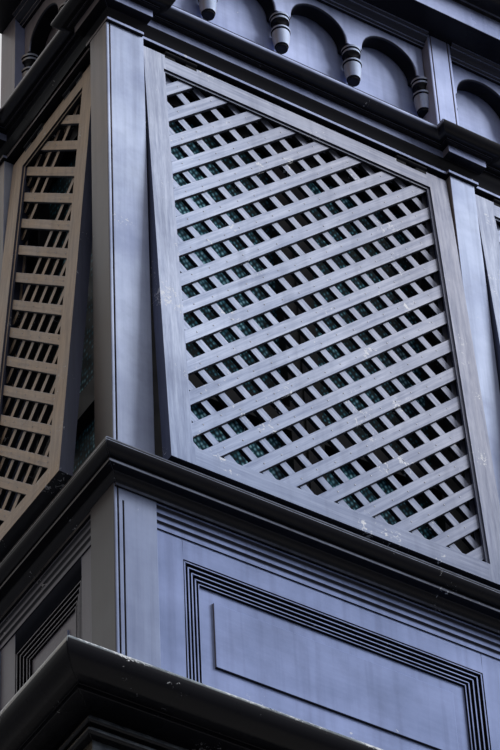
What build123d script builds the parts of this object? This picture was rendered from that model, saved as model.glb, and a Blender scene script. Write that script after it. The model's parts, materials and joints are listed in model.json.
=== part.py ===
from build123d import *
from math import cos, radians
import os

# Enclosed timber box balcony with propped lattice shutters, in millimetres.
# The origin is the middle of the wall ledger's back face: X runs along the wall, the wall is at Y = 0,
# the street is towards -Y, and Z is up.

# Plan
bays = 3
bay_opening = 846
side_opening = 393
corner_post = 92
corner_proud = 7
corner_rebate_width = 20
corner_rebate_depth = 18
front_post = 70
wall_post = 70
post_depth = 92

# Heights
ledger_height = 200
ledger_depth = 60
floor_thickness = 28
ledge_foot_z = 210
sill_top_z = 874
sill_height = 79
sill_roll = 22
sill_roll_out = 36
head_z = 2230
head_fillet_height = 9
entablature_height = 115
frieze_height = 433
cornice_height = 136

# Base and ledge
base_fascia_out = 150
base_fascia_thickness = 30
ledge_roll_radius = 35
ledge_out = 272
ledge_roll_z = 85
bead_out = 20
bead_height = 13
bead_gap = 12
bead_fillet = 6
ledge_drip = 20
soffit_thickness = 18

# Dado
dado_set_back = 8
dado_thickness = 36
dado_stile = 62
panel_top_z = 679
panel_bottom_z = 343
panel_set_back = 15
panel_thickness = 12
field_margin = 32
field_foot_margin = 53
field_raise = 5

# Moulding round a panel: thin fillets stepping back with a groove before each, as
# (distance in from the stile's edge where a face ends, depth of that face behind the stile)
moulding_width = 43
moulding_faces = [
    (3, 7),
    (6.5, 1),
    (12.5, 7.5),
    (16, 3.5),
    (22, 10),
    (25.5, 6),
    (31.5, 12.5),
    (35, 8.5),
    (40, 14),
    (moulding_width, 10),
]

# Lattice shutters: the slats' pitch is upright, and a start is the fall of the first slat's lower edge
# below the opening's top, on the side of the corner post
shutter_gap = 5
shutter_foot_gap = 7
shutter_thickness = 32
shutter_stile = 52
shutter_foot_rail = 52
frame_step = 5
frame_fillet = 6
end_foot_rail = 47
shutter_hang = 7
hinge_below_head = 6
shutter_set_back = 11
shutter_tilt = 2.75
end_set_back = 21.5
end_tilt = 4.15
slat_pitch = 92.3
slat_thickness = 10
slat_set_back = 10
slat_tenon = 12
slat_angle = 45
front_slat_width = 30
front_slat_start = 81
back_slat_width = 23.5
back_slat_start = 9
end_front_slat_width = 23.5
end_front_slat_start = 20
end_back_slat_width = 20
end_back_slat_start = 48
end_back_slat_pitch = 95.1
end_back_slat_angle = 47.3
end_missing_slats = (0, 1)

# Hinges
hinge_from_end = 100
hinge_leaf_length = 84
hinge_leaf_thickness = 2
hinge_leaf_width = 26
hinge_flange = 4
hinge_notch = 9
hinge_notch_gap = 0.5
knuckle_radius = 5.5
hinge_pin_radius = 2.5
hinge_running_gap = 0.05
knuckle_end_gap = 0.5

# Window sashes
sash_set_back = 60
sash_thickness = 34
sash_stile = 78
meeting_stiles = 84
meeting_bead = 12
meeting_bead_out = 5
end_sash_stile = 60
sash_head_rail = 110
sash_foot_rail = 80
transom_z = 1220
transom_height = 72
glass_behind_face = 27
glass_thickness = 5

# Frieze
frieze_pilaster_set_back = 25
frieze_corner_edge = 108
arcade_set_back = 50
arcade_thickness = 42
frieze_panel_thickness = 18
arch_pier = 47
arch_spring_drop = 106
pier_foot_drop = 114
pendant_radius = 24.5
pendant_clear = 0.5
pendant_gap = 3
arches_per_bay = 4
arches_per_side = 2
bed_height = 36
roof_thickness = 20
ceiling_thickness = 12

# Break-forward blocks over the posts
block_out = 25
block_half_width = 48
fillet_out_bay = -2
fillet_out_post = 8

# Beaded arrises: a rounded corner, then a quirk in the front face
arris_radius = 4
quirk_width = 3
quirk_depth = 6

# Second quirk that widens the corner posts' bead below the sill
dado_quirk_from_edge = 20
dado_quirk_top_z = 765

# Entablature over the posts
cove_rise = 36
cove_top_out = 6
fascia_band = 23
entablature_fillet_out = 18
entablature_roll = 20
entablature_roll_out = 26

# Cornice
cornice_out = 50
cornice_fascia = 72
cornice_step = 10
crown_radius = 28
crown_out = 84

# Outlines of the smaller mouldings, as (out, up) points; a pair of points is an arc
sill_underside = [(5, 0), (5, 8), ((14, 13), (20, 22)), (40, 22), (40, 29), (sill_roll_out, 29)]
apron_outline = [
    (-1, 0),
    (-1, -5),
    ((-4, -9), (-4.5, -17)),
    (-2, -17),
    (-2, -24),
    ((-5, -28), (-5.5, -36)),
    (-3, -36),
    (-3, -43),
    ((-6, -47), (-6.5, -55)),
    (-5, -55),
    (-5, -63),
    (-dado_set_back, -63),
]
bed_outline = [
    (8, 0),
    (8, 4),
    (13, 7),
    (13, 12),
    ((19, 15), (24, 20)),
    (27, 22),
    (27, 28),
    (34, 31),
    (34, bed_height),
    (0, bed_height),
]
pendant_turning = [
    (12, -116),
    (15, -114),
    (15, -110),
    (13, -108),
    (17, -106),
    ((20.5, -84), (22, -60)),
    (20, -57),
    (24, -55),
    (24, -49),
    (18, -46),
    ((15.5, -35), (17, -24)),
    (23, -19),
    (23, -12),
    (19, -9),
    (pendant_radius, -7),
    (pendant_radius, 0),
    (0, 0),
]

# Fixing holes through the ledger
anchor_spacing_x = 2400
anchor_spacing_z = 120
anchor_radius = 9

# Worked-out sizes
width = 2 * corner_post + bays * bay_opening + (bays - 1) * front_post
depth = corner_post + side_opening + wall_post
left_x = -width / 2
front_y = -depth
base_z = -ledger_height / 2
floor_z = ledger_height / 2 + floor_thickness
beam_z = head_z + head_fillet_height
frieze_z = beam_z + entablature_height - head_fillet_height
cornice_z = frieze_z + frieze_height
bay_pitch = bay_opening + front_post
bay_lefts = [left_x + corner_post + i * bay_pitch for i in range(bays)]
bay_centres = [x + bay_opening / 2 for x in bay_lefts]
front_post_centres = [x - front_post / 2 for x in bay_lefts[1:]]
side_centre_y = front_y + corner_post + side_opening / 2
hinge_z = head_z - hinge_below_head
shutter_height = hinge_z - shutter_hang - sill_top_z - shutter_foot_gap

nodes = {}


def slab(x0, x1, y0, y1, z0, z1):
    """A box from its lowest to its highest corner."""
    return Pos((x0 + x1) / 2, (y0 + y1) / 2, (z0 + z1) / 2) * Box(x1 - x0, y1 - y0, z1 - z0)


def outline(start, *steps):
    """A face from a start point: a step is a point, or a middle and an end for an arc."""
    edges = []
    here = start
    for step in steps:
        if isinstance(step[0], tuple):
            edges.append(ThreePointArc(here, step[0], step[1]))
            here = step[1]
        else:
            edges.append(Line(here, step))
            here = step
    edges.append(Line(here, start))
    return make_face(edges)


def lifted(points, up):
    """Outline points moved up."""
    moved = []
    for point in points:
        if isinstance(point[0], tuple):
            moved.append(tuple((out, z + up) for out, z in point))
        else:
            moved.append((point[0], point[1] + up))
    return moved


def round_nose(centre_out, centre_z, radius):
    """The three points of a half-round nose, from its underside to its top."""
    return (
        (centre_out, centre_z - radius),
        ((centre_out + radius, centre_z), (centre_out, centre_z + radius)),
    )


def run_round(profile, path_points):
    """Sweep a profile of (out, up) points along a path that starts at the wall on the left."""
    start = path_points[0]
    plane = Plane(origin=(start[0], start[1], 0), x_dir=(-1, 0, 0), z_dir=(0, 1, 0))
    path = Polyline(*[(x, y, 0) for x, y in path_points])
    return sweep(plane * profile, path=path, transition=Transition.RIGHT)


def plain_path():
    """The three sides of the balcony, in plan."""
    return [(left_x, 0), (left_x, front_y), (-left_x, front_y), (-left_x, 0)]


def post_blocks_round(profile, block, half_width):
    """Sweep a profile round the front and sides of a block over each post, broken forward by block."""
    back = front_y + post_depth / 2
    blocks = []
    for centre in front_post_centres:
        low = centre - half_width
        high = centre + half_width
        points = [(low, back), (low, front_y - block), (high, front_y - block), (high, back)]
        plane = Plane(origin=(low, back, 0), x_dir=(-1, 0, 0), z_dir=(0, 1, 0))
        path = Polyline(*[(x, y, 0) for x, y in points])
        blocks.append(sweep(plane * profile, path=path, transition=Transition.RIGHT))
    side = front_y + corner_post / 2 + half_width
    far = left_x + corner_post / 2 + half_width
    points = [(left_x + post_depth / 2, side), (left_x - block, side), (left_x - block, front_y - block)]
    points += [(far, front_y - block), (far, back)]
    plane = Plane(origin=(points[0][0], side, 0), x_dir=(0, 1, 0), z_dir=(1, 0, 0))
    path = Polyline(*[(x, y, 0) for x, y in points])
    corner_block = sweep(plane * profile, path=path, transition=Transition.RIGHT)
    side = -wall_post / 2 - half_width
    points = [(left_x - block, 0), (left_x - block, side), (left_x + post_depth / 2, side)]
    plane = Plane(origin=(left_x - block, 0, 0), x_dir=(-1, 0, 0), z_dir=(0, 1, 0))
    path = Polyline(*[(x, y, 0) for x, y in points])
    wall_block = sweep(plane * profile, path=path, transition=Transition.RIGHT)
    for shape in (corner_block, wall_block):
        blocks += [shape, mirror(shape, about=Plane.YZ)]
    return blocks


def block_cores(block, half_width, low_z, high_z):
    """The plain boxes behind the mouldings of the blocks."""
    cores = []
    for centre in front_post_centres:
        cores.append(
            slab(centre - half_width, centre + half_width, front_y - block, front_y + post_depth, low_z, high_z)
        )
    near = corner_post / 2 + half_width
    inner = min(near, post_depth)
    corner_core = slab(left_x - block, left_x + near, front_y - block, front_y + inner, low_z, high_z)
    corner_core += slab(left_x - block, left_x + inner, front_y - block, front_y + near, low_z, high_z)
    cores.append(corner_core)
    far_side = -wall_post / 2 - half_width
    cores.append(slab(left_x - block, left_x + post_depth, far_side, 0, low_z, high_z))
    cores += [mirror(core, about=Plane.YZ) for core in cores[-2:]]
    return cores


def mitred_runs(shape):
    """Cut a moulding that goes round three sides at its two mitres: front, left, right."""
    left_mitre = Plane(origin=(left_x, front_y, 0), z_dir=(1, -1, 0))
    right_mitre = Plane(origin=(-left_x, front_y, 0), z_dir=(-1, -1, 0))
    inner = split(shape, bisect_by=left_mitre, keep=Keep.TOP)
    left = split(shape, bisect_by=left_mitre, keep=Keep.BOTTOM)
    front = split(inner, bisect_by=right_mitre, keep=Keep.TOP)
    right = split(inner, bisect_by=right_mitre, keep=Keep.BOTTOM)
    return front, left, right


def on_left(shape):
    """Turn a piece made for the front, centred on X = 0 and Y = 0 outside face, to the left end."""
    return Pos(left_x, side_centre_y, 0) * Rot(0, 0, -90) * shape


def on_right(shape):
    """Mirror image of the piece at the left end."""
    return mirror(on_left(shape), about=Plane.YZ)


def on_front(shape, x):
    """Place a piece made about X = 0 and Y = 0 outside face in a front bay."""
    return Pos(x, front_y, 0) * shape


def beaded_post(size_x, size_y, low_z, high_z, left_bead, right_bead):
    """A post from Y = 0 inwards, centred on X, with its outer arrises rounded and quirked on the front."""
    section = Pos(0, size_y / 2) * Rectangle(size_x, size_y)
    for side, beaded in ((-1, left_bead), (1, right_bead)):
        if not beaded:
            continue
        edge = side * size_x / 2
        corner = section.vertices().sort_by_distance((edge, 0, 0))[0]
        section = fillet(corner, arris_radius)
        quirk_centre = 2 * arris_radius + quirk_width / 2
        section -= Pos(edge - side * quirk_centre, quirk_depth / 2) * Rectangle(quirk_width, quirk_depth)
    return Pos(0, 0, low_z) * extrude(section, high_z - low_z)


# Wall ledger, with holes for the wall anchors
ledger_half = -left_x + base_fascia_out - base_fascia_thickness
fascia_top = ledge_roll_z - ledge_roll_radius - bead_gap
ledger = slab(-ledger_half, ledger_half, -ledger_depth, 0, base_z, fascia_top)
ledger += slab(left_x, -left_x, -ledger_depth, 0, base_z, -base_z)
for x_side in (-1, 1):
    for z_side in (-1, 1):
        hole_at = (x_side * anchor_spacing_x / 2, -ledger_depth / 2, z_side * anchor_spacing_z / 2)
        ledger -= Pos(*hole_at) * Rot(90, 0, 0) * Cylinder(anchor_radius, 2 * ledger_depth)
nodes["wall_ledger"] = ledger

# Base: fascia boards round three sides, soffit boards below, floor boards above
fascia_profile = outline(
    (base_fascia_out - base_fascia_thickness, base_z),
    (base_fascia_out, base_z),
    (base_fascia_out, fascia_top),
    (base_fascia_out - base_fascia_thickness, fascia_top),
)
nodes["base_fascia"] = run_round(fascia_profile, plain_path())
nodes["base_soffit"] = slab(
    -ledger_half,
    ledger_half,
    front_y - base_fascia_out + base_fascia_thickness,
    -ledger_depth,
    base_z + soffit_thickness,
    base_z + 2 * soffit_thickness,
)
nodes["floor_boards"] = slab(left_x, -left_x, front_y, 0, ledger_height / 2, floor_z)

# Two beads planted under the ledge
bead_tops = [fascia_top - bead_fillet, fascia_top - bead_fillet - bead_height - bead_gap]
bead_radius = bead_height / 2
bead_low = bead_tops[1] - bead_height
bead_face = base_fascia_out + bead_out
bead_back = base_fascia_out + bead_fillet
beads = outline(
    (base_fascia_out, bead_low),
    (bead_face - bead_radius, bead_low),
    ((bead_face, bead_low + bead_radius), (bead_face - bead_radius, bead_tops[1])),
    (bead_back, bead_tops[1]),
    (bead_back, bead_tops[0] - bead_height),
    (bead_face - bead_radius, bead_tops[0] - bead_height),
    ((bead_face, bead_tops[0] - bead_radius), (bead_face - bead_radius, bead_tops[0])),
    (bead_face - bead_radius, fascia_top),
    (base_fascia_out, fascia_top),
)
nodes["base_beads"] = run_round(beads, plain_path())

# Broad ledge with a round nose and a weathered top
nose_centre = ledge_out - ledge_roll_radius
ledge_profile = outline(
    (0, fascia_top),
    (nose_centre - ledge_drip, fascia_top),
    (nose_centre - ledge_drip, ledge_roll_z - ledge_roll_radius),
    *round_nose(nose_centre, ledge_roll_z, ledge_roll_radius),
    (0, ledge_foot_z),
)
corner_block = slab(left_x - corner_proud, left_x + corner_post, front_y, front_y + corner_post, floor_z, head_z)
corner_blocks = [corner_block, mirror(corner_block, about=Plane.YZ)]
nodes["base_ledge"] = run_round(ledge_profile, plain_path()) - corner_blocks

# Posts from the floor to the head; the corner ones stand out past the line of the ends and have a rebate
# beside the end shutters
corner = beaded_post(corner_post + corner_proud, corner_post, floor_z, head_z, True, False)
dado_quirk = dado_quirk_from_edge - (corner_post + corner_proud) / 2
corner -= slab(dado_quirk, dado_quirk + quirk_width, 0, quirk_depth, floor_z, dado_quirk_top_z)
corner_left = Pos(left_x + (corner_post - corner_proud) / 2, front_y, 0) * corner
rebate_in = left_x - corner_proud + corner_rebate_depth
rebate_back = front_y + corner_post
rebate_front = rebate_back - corner_rebate_width
corner_left -= slab(left_x - corner_proud - 1, rebate_in, rebate_front, rebate_back + 1, sill_top_z, head_z + 1)
nodes["corner_posts"] = Compound([corner_left, mirror(corner_left, about=Plane.YZ)])
middle = beaded_post(front_post, post_depth, floor_z, head_z, False, False)
nodes["front_posts"] = Compound([Pos(x, front_y, 0) * middle for x in front_post_centres])
wall_left = slab(left_x, left_x + post_depth, -wall_post, 0, floor_z, head_z)
nodes["wall_posts"] = Compound([wall_left, mirror(wall_left, about=Plane.YZ)])

# Sill moulding round three sides, cut at its mitres
sill_low = sill_top_z - sill_height
sill_profile = outline(
    (-post_depth, sill_low),
    *lifted(sill_underside, sill_low),
    *round_nose(sill_roll_out, sill_top_z - sill_roll, sill_roll),
    (-post_depth, sill_top_z),
)
sill_runs = mitred_runs(run_round(sill_profile, plain_path()))
post_blocks = [
    *corner_blocks,
    slab(left_x, left_x + post_depth, -wall_post, 0, 0, head_z),
    slab(-left_x - post_depth, -left_x, -wall_post, 0, 0, head_z),
]
for x in front_post_centres:
    post_blocks.append(slab(x - front_post / 2, x + front_post / 2, front_y, front_y + post_depth, 0, head_z))
for side_name, run in zip(("front", "left", "right"), sill_runs):
    nodes["sill_" + side_name] = run - post_blocks


def apron(opening):
    """Small stepped moulding under the sill, between two posts."""
    profile = outline((-dado_set_back, sill_low), *lifted(apron_outline, sill_low))
    plane = Plane(origin=(-opening / 2, 0, 0), x_dir=(0, -1, 0), z_dir=(-1, 0, 0))
    return extrude(plane * profile, -opening)


def dado_frame(opening):
    """Stiles and rails under the sill, with the panel's opening cut through."""
    half = opening / 2
    y0 = dado_set_back
    y1 = dado_set_back + dado_thickness
    frame = slab(-half, half, y0, y1, floor_z, sill_low)
    hole = half - dado_stile
    frame -= slab(-hole, hole, y0 - 1, y1 + 1, panel_bottom_z, panel_top_z)
    return frame


def panel_moulding(opening):
    """Mitred frame of thin fillets and grooves that runs round the panel inside the stiles and rails."""
    outer_x = opening / 2 - dado_stile
    face = dado_set_back
    back = dado_set_back + dado_thickness
    frame = slab(-outer_x, outer_x, face, back, panel_bottom_z, panel_top_z)
    start = 0
    for end, face_depth in moulding_faces:
        cut = slab(
            -outer_x + start,
            outer_x - start,
            face - 1,
            face + face_depth,
            panel_bottom_z + start,
            panel_top_z - start,
        )
        cut -= slab(
            -outer_x + end,
            outer_x - end,
            face - 1,
            face + face_depth,
            panel_bottom_z + end,
            panel_top_z - end,
        )
        frame -= cut
        start = end
    hole = outer_x - moulding_width
    low = panel_bottom_z + moulding_width
    high = panel_top_z - moulding_width
    return frame - slab(-hole, hole, face - 1, back + 1, low, high)


def dado_panel(opening):
    """Flat panel with a raised field, held in the moulding."""
    half = opening / 2 - dado_stile - moulding_width
    y0 = dado_set_back + panel_set_back
    low = panel_bottom_z + moulding_width
    high = panel_top_z - moulding_width
    panel = slab(-half, half, y0, y0 + panel_thickness, low, high)
    field = slab(
        -half + field_margin,
        half - field_margin,
        y0 - field_raise,
        y0 + 1,
        low + field_foot_margin,
        high - field_margin,
    )
    return panel + field


def panes(opening, leaves, stile):
    """Lowest and highest X and Z of each pane of a window."""
    half = opening / 2
    if leaves == 1:
        spans = [(-half + stile, half - stile)]
    else:
        spans = [(-half + stile, -meeting_stiles / 2), (meeting_stiles / 2, half - stile)]
    lights = [(sill_top_z + sash_foot_rail, transom_z), (transom_z + transom_height, head_z - sash_head_rail)]
    return [(x0, x1, z0, z1) for x0, x1 in spans for z0, z1 in lights]


def sash(opening, leaves, stile):
    """Window behind a shutter: stiles, rails, a transom, and a bead where two leaves meet."""
    half = opening / 2
    y0 = sash_set_back
    y1 = sash_set_back + sash_thickness
    frame = slab(-half, half, y0, y1, sill_top_z, head_z)
    for x0, x1, z0, z1 in panes(opening, leaves, stile):
        frame -= slab(x0, x1, y0 - 1, y1 + 1, z0, z1)
    if leaves > 1:
        bead = meeting_bead / 2
        frame += slab(-bead, bead, y0 - meeting_bead_out, y0, sill_top_z, head_z)
    return frame


def glazing(opening, leaves, stile):
    """One sheet of glass in each light of a window."""
    y0 = sash_set_back + glass_behind_face
    y1 = y0 + glass_thickness
    return [slab(x0, x1, y0, y1, z0, z1) for x0, x1, z0, z1 in panes(opening, leaves, stile)]


def in_every_bay(maker, front_args, side_args):
    """A piece for each bay of the front and for each end, as one list of solids."""
    pieces = []
    for x in bay_centres:
        pieces += [on_front(s, x) for s in as_list(maker(*front_args))]
    for s in as_list(maker(*side_args)):
        pieces.append(on_left(s))
        pieces.append(on_right(s))
    return pieces


def as_list(shape):
    """A list of shapes from one shape or from a list."""
    return shape if isinstance(shape, list) else [shape]


nodes["apron_mouldings"] = Compound(in_every_bay(apron, [bay_opening], [side_opening]))
nodes["dado_frames"] = Compound(in_every_bay(dado_frame, [bay_opening], [side_opening]))
nodes["panel_mouldings"] = Compound(in_every_bay(panel_moulding, [bay_opening], [side_opening]))
nodes["dado_panels"] = Compound(in_every_bay(dado_panel, [bay_opening], [side_opening]))
nodes["window_sashes"] = Compound(in_every_bay(sash, [bay_opening, 2, sash_stile], [side_opening, 1, end_sash_stile]))
nodes["window_glass"] = Compound(in_every_bay(glazing, [bay_opening, 2, sash_stile], [side_opening, 1, end_sash_stile]))

# Entablature over the posts: a head fillet, then fascia and roll broken forward over each post
fillet_profile = outline(
    (-post_depth, head_z),
    (fillet_out_bay, head_z),
    (fillet_out_bay, beam_z),
    (-post_depth, beam_z),
)
fillet_half_width = front_post / 2 + fillet_out_post
head_fillet = run_round(fillet_profile, plain_path())
head_fillet += block_cores(fillet_out_post, fillet_half_width, head_z, beam_z)
fascia_low = beam_z + cove_rise
fascia_high = fascia_low + fascia_band
roll_z = frieze_z - entablature_roll
moulding_steps_out = [
    (cove_top_out, fascia_high),
    (entablature_fillet_out, fascia_high),
    (entablature_fillet_out, roll_z - entablature_roll),
    *round_nose(entablature_roll_out, roll_z, entablature_roll),
]
beam_profile = outline(
    (-post_depth, beam_z),
    (-4, beam_z),
    ((-1, beam_z + 22), (cove_top_out, fascia_low)),
    *moulding_steps_out,
    (-post_depth, frieze_z),
)
block_profile = outline((0, fascia_low), (cove_top_out, fascia_low), *moulding_steps_out, (0, frieze_z))
entablature = run_round(beam_profile, plain_path())
entablature += post_blocks_round(block_profile, block_out, block_half_width)
entablature += block_cores(block_out, block_half_width, fascia_low, frieze_z)
entablature += head_fillet
for side_name, run in zip(("front", "left", "right"), mitred_runs(entablature)):
    nodes["entablature_" + side_name] = run

# Frieze: recessed panels, arcade boards with round arches, pilasters and turned pendants
panel_set = arcade_set_back + arcade_thickness
panel_inner = panel_set + frieze_panel_thickness
corner_core = slab(
    left_x + panel_set, left_x + panel_inner, front_y + panel_set, front_y + panel_inner, frieze_z, cornice_z
)
corner_face = beaded_post(
    frieze_corner_edge - frieze_pilaster_set_back,
    frieze_corner_edge - frieze_pilaster_set_back,
    frieze_z,
    cornice_z,
    True,
    False,
)
corner_x = left_x + (frieze_corner_edge + frieze_pilaster_set_back) / 2
corner_pilaster = Pos(corner_x, front_y + frieze_pilaster_set_back, 0) * corner_face + corner_core
pilaster = beaded_post(
    front_post, arcade_set_back - frieze_pilaster_set_back, frieze_z, cornice_z, True, True
)
behind = slab(-front_post / 2, front_post / 2, 0, arcade_thickness, frieze_z, cornice_z)
pilaster_full = pilaster + Pos(0, arcade_set_back - frieze_pilaster_set_back, 0) * behind
pilasters = [Pos(x, front_y + frieze_pilaster_set_back, 0) * pilaster_full for x in front_post_centres]
wall_pilaster = slab(
    left_x + frieze_pilaster_set_back, left_x + panel_inner, -wall_post, 0, frieze_z, cornice_z
)
for shape in (wall_pilaster, corner_pilaster):
    pilasters += [shape, mirror(shape, about=Plane.YZ)]
nodes["frieze_pilasters"] = Compound(pilasters)

front_panel = slab(
    left_x + panel_inner, -left_x - panel_inner, front_y + panel_set, front_y + panel_inner, frieze_z, cornice_z
)
side_panel = slab(
    left_x + panel_set, left_x + panel_inner, front_y + panel_inner, -wall_post, frieze_z, cornice_z
)
nodes["frieze_panels"] = Compound([front_panel, side_panel, mirror(side_panel, about=Plane.YZ)])

spring_z = cornice_z - arch_spring_drop - bed_height
pier_foot_z = cornice_z - pier_foot_drop - bed_height


def arcade(length, arches):
    """A board from Y = 0 inwards, with round arches and short piers that carry the pendants."""
    pitch = (length - 2 * pendant_gap) / arches
    half = length / 2
    board = slab(-half, half, 0, arcade_thickness, pier_foot_z, cornice_z)
    radius = (pitch - arch_pier) / 2
    for i in range(arches):
        centre = -half + pendant_gap + (i + 0.5) * pitch
        board -= Pos(centre, arcade_thickness / 2, spring_z) * Rot(90, 0, 0) * Cylinder(radius, 3 * arcade_thickness)
        board -= slab(centre - radius, centre + radius, -1, arcade_thickness + 1, pier_foot_z - 1, spring_z)
    return board


def pendant():
    """A turned drop: collar rings, an urn body and a small knob, hanging from Z = 0."""
    profile = outline((0, pendant_turning[0][1]), *pendant_turning)
    return revolve(Plane.XZ * profile, Axis.Z)


arcade_boards = []
pendants = []
drop = pendant()
pendant_y = panel_set - pendant_radius - pendant_clear
edges = [left_x + frieze_corner_edge]
for x in front_post_centres:
    edges += [x - front_post / 2, x + front_post / 2]
edges.append(-left_x - frieze_corner_edge)
for low, high in zip(edges[::2], edges[1::2]):
    board = Pos((low + high) / 2, front_y + arcade_set_back, 0) * arcade(high - low, arches_per_bay)
    arcade_boards.append(board)
    pitch = (high - low - 2 * pendant_gap) / arches_per_bay
    for i in range(arches_per_bay + 1):
        here = Pos(low + pendant_gap + i * pitch, front_y + pendant_y, pier_foot_z) * drop
        pendants.append(here - pilasters if i in (0, arches_per_bay) else here)
side_low = front_y + frieze_corner_edge
side_high = -wall_post
side_length = side_high - side_low
side_board = Pos(left_x + arcade_set_back, (side_low + side_high) / 2, 0) * Rot(0, 0, -90)
side_board = side_board * arcade(side_length, arches_per_side)
arcade_boards += [side_board, mirror(side_board, about=Plane.YZ)]
side_pitch = (side_length - 2 * pendant_gap) / arches_per_side
for i in range(arches_per_side + 1):
    here = Pos(left_x + pendant_y, side_low + pendant_gap + i * side_pitch, pier_foot_z) * drop
    if i in (0, arches_per_side):
        here = here - pilasters
    pendants += [here, mirror(here, about=Plane.YZ)]
nodes["arcade_boards"] = Compound(arcade_boards)
nodes["pendants"] = Compound(pendants)


def bed_moulding(length):
    """Stepped moulding under the cornice, against the arcade board at Y = 0."""
    low_z = cornice_z - bed_height
    profile = outline((0, low_z), *lifted(bed_outline, low_z))
    plane = Plane(origin=(-length / 2, 0, 0), x_dir=(0, -1, 0), z_dir=(-1, 0, 0))
    return extrude(plane * profile, -length)


beds = []
for low, high in zip(edges[::2], edges[1::2]):
    beds.append(Pos((low + high) / 2, front_y + arcade_set_back, 0) * bed_moulding(high - low))
bed_side = Pos(left_x + arcade_set_back, (side_low + side_high) / 2, 0) * Rot(0, 0, -90) * bed_moulding(side_length)
beds += [bed_side, mirror(bed_side, about=Plane.YZ)]
nodes["bed_mouldings"] = Compound(beds)

# Cornice, ceiling and roof
cornice_top = cornice_z + cornice_height
cornice_profile = outline(
    (-post_depth, cornice_z),
    (cornice_out, cornice_z),
    (cornice_out, cornice_z + cornice_fascia),
    (cornice_out + cornice_step, cornice_z + cornice_fascia),
    (cornice_out + cornice_step, cornice_top - 2 * crown_radius),
    *round_nose(crown_out, cornice_top - crown_radius, crown_radius),
    (-post_depth, cornice_top),
)
nodes["cornice"] = run_round(cornice_profile, plain_path())
inside_x = -left_x - post_depth
inside_y = front_y + post_depth
nodes["roof_boards"] = slab(-inside_x, inside_x, inside_y, 0, cornice_top - roof_thickness, cornice_top)
nodes["ceiling_boards"] = slab(-inside_x, inside_x, inside_y, 0, cornice_z, cornice_z + ceiling_thickness)


def slats(opening_x, opening_z, start, slat_width, angle, pitch=slat_pitch, missing=()):
    """Parallel slats clipped to an opening, as a sketch with its origin at the top left corner."""
    clip = Pos(opening_x / 2, -opening_z / 2) * Rectangle(opening_x + 2 * slat_tenon, opening_z + 2 * slat_tenon)
    reach = opening_x + opening_z
    count = int(reach / pitch) + 1
    half_height = slat_width / 2 / cos(radians(angle))
    layer = Sketch()
    for i in range(-count, count + 1):
        if i not in missing:
            middle = half_height - start - i * pitch
            layer += Pos(0, middle) * Rot(0, 0, angle) * Rectangle(2 * reach, slat_width)
    return layer & clip


def shutter_frame(opening, foot_rail):
    """Stiles and rails of a shutter, hung from its hinge line at the origin, with a stepped inner edge."""
    half = opening / 2 - shutter_gap
    top = -shutter_hang
    low = top - shutter_height
    inner = half - shutter_stile
    inner_low = low + foot_rail
    inner_top = top - shutter_stile
    step = frame_fillet
    frame = slab(-half, half, 0, shutter_thickness, low, top)
    frame -= slab(-inner, inner, -1, frame_step, inner_low, inner_top)
    frame -= slab(-inner + step, inner - step, 0, shutter_thickness + 1, inner_low + step, inner_top - step)
    groove_end = slat_set_back + 2 * slat_thickness
    deep = slat_tenon - step
    frame -= slab(-inner - deep, inner + deep, slat_set_back, groove_end, inner_low - deep, inner_top + deep)
    notch = hinge_leaf_length / 2 + hinge_notch_gap
    for x in hinge_places(opening):
        frame -= slab(x - notch, x + notch, -1, shutter_thickness + 1, top - hinge_notch, top + 1)
    return frame


def shutter_lattice(opening, foot_rail, front_slats, back_slats):
    """Two layers of slats that cross, nailed face to face, let into the frame."""
    edge = shutter_stile + frame_fillet
    opening_x = opening - 2 * shutter_gap - 2 * edge
    opening_z = shutter_height - edge - foot_rail - frame_fillet
    crossed = Part()
    for layer, slat_values in enumerate((front_slats, back_slats)):
        out = slat_set_back + layer * slat_thickness
        plane = Plane(origin=(-opening_x / 2, out, -shutter_hang - edge), x_dir=(1, 0, 0), z_dir=(0, -1, 0))
        crossed += extrude(plane * slats(opening_x, opening_z, *slat_values), -slat_thickness)
    return max(crossed.solids(), key=lambda solid: solid.volume)


def hinge_places(opening):
    """Middle of each hinge along a shutter."""
    place = opening / 2 - shutter_gap - hinge_from_end
    return (-place, place)


def moving_leaf(opening):
    """Leaf let into the shutter's top edge, with its two outer knuckles, for both hinges."""
    third = hinge_leaf_length / 3
    seat = -shutter_hang - hinge_notch
    leaves = []
    for x in hinge_places(opening):
        leaf = slab(
            x - hinge_leaf_length / 2,
            x + hinge_leaf_length / 2,
            0,
            hinge_leaf_width,
            seat,
            seat + hinge_leaf_thickness,
        )
        leaf -= slab(x - third / 2 - knuckle_end_gap, x + third / 2 + knuckle_end_gap, -1, hinge_flange, seat - 1, 0)
        for side in (-1, 1):
            length = third - knuckle_end_gap
            centre = x + side * (third / 2 + knuckle_end_gap + length / 2)
            leaf += Pos(centre, 0, 0) * Rot(0, 90, 0) * Cylinder(knuckle_radius, length)
            leaf += slab(centre - length / 2, centre + length / 2, 0, hinge_flange, seat, 0)
        leaf -= Pos(x, 0, 0) * Rot(0, 90, 0) * Cylinder(hinge_pin_radius + hinge_running_gap, 2 * hinge_leaf_length)
        leaves.append(leaf)
    return leaves


def fixed_leaf(opening):
    """Leaf under the head with the middle knuckle and the pin, for both hinges."""
    third = hinge_leaf_length / 3
    head = head_z - hinge_z
    leaves = []
    for x in hinge_places(opening):
        leaf = slab(x - third / 2, x + third / 2, 0, hinge_leaf_width, head - hinge_leaf_thickness, head)
        leaf += Pos(x, 0, 0) * Rot(0, 90, 0) * Cylinder(knuckle_radius, third)
        leaf += Pos(x, 0, 0) * Rot(0, 90, 0) * Cylinder(hinge_pin_radius, hinge_leaf_length)
        leaves.append(leaf)
    return leaves


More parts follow.
